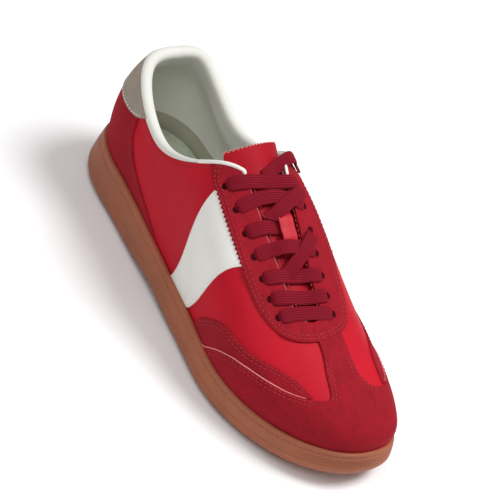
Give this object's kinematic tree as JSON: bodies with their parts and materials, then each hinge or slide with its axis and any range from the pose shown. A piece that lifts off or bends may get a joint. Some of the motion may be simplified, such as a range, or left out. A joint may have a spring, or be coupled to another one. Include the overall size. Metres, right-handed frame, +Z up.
{
  "type": "tennis shoe",
  "caption": "Low lace-up tennis shoe for the right foot: hollow leather upper with a padded collar and tongue in a gum rubber cupsole.",
  "frame": {"origin": "on the floor plane under the middle of the sole's length and width", "axes": "+X from heel to toe, +Y to the inner (medial) side of the foot, +Z up"},
  "size_m": [0.276, 0.0981, 0.1046],
  "materials": {
    "gum_rubber": "matte",
    "red_leather": "satin",
    "tongue_leather": "satin",
    "insole_cloth": "matte",
    "lace_cotton": "matte"
  },
  "bodies": {
    "root": {"outsole": "gum_rubber", "upper": "red_leather", "tongue": "tongue_leather", "insole": "insole_cloth", "lace_bar_1": "lace_cotton", "lace_cross_upper": "lace_cotton", "lace_cross_lower": "lace_cotton", "lace_bar_5": "lace_cotton", "lace_bar_6": "lace_cotton", "lace_bar_7": "lace_cotton", "lace_keeper": "tongue_leather"}
  },
  "joints": []
}
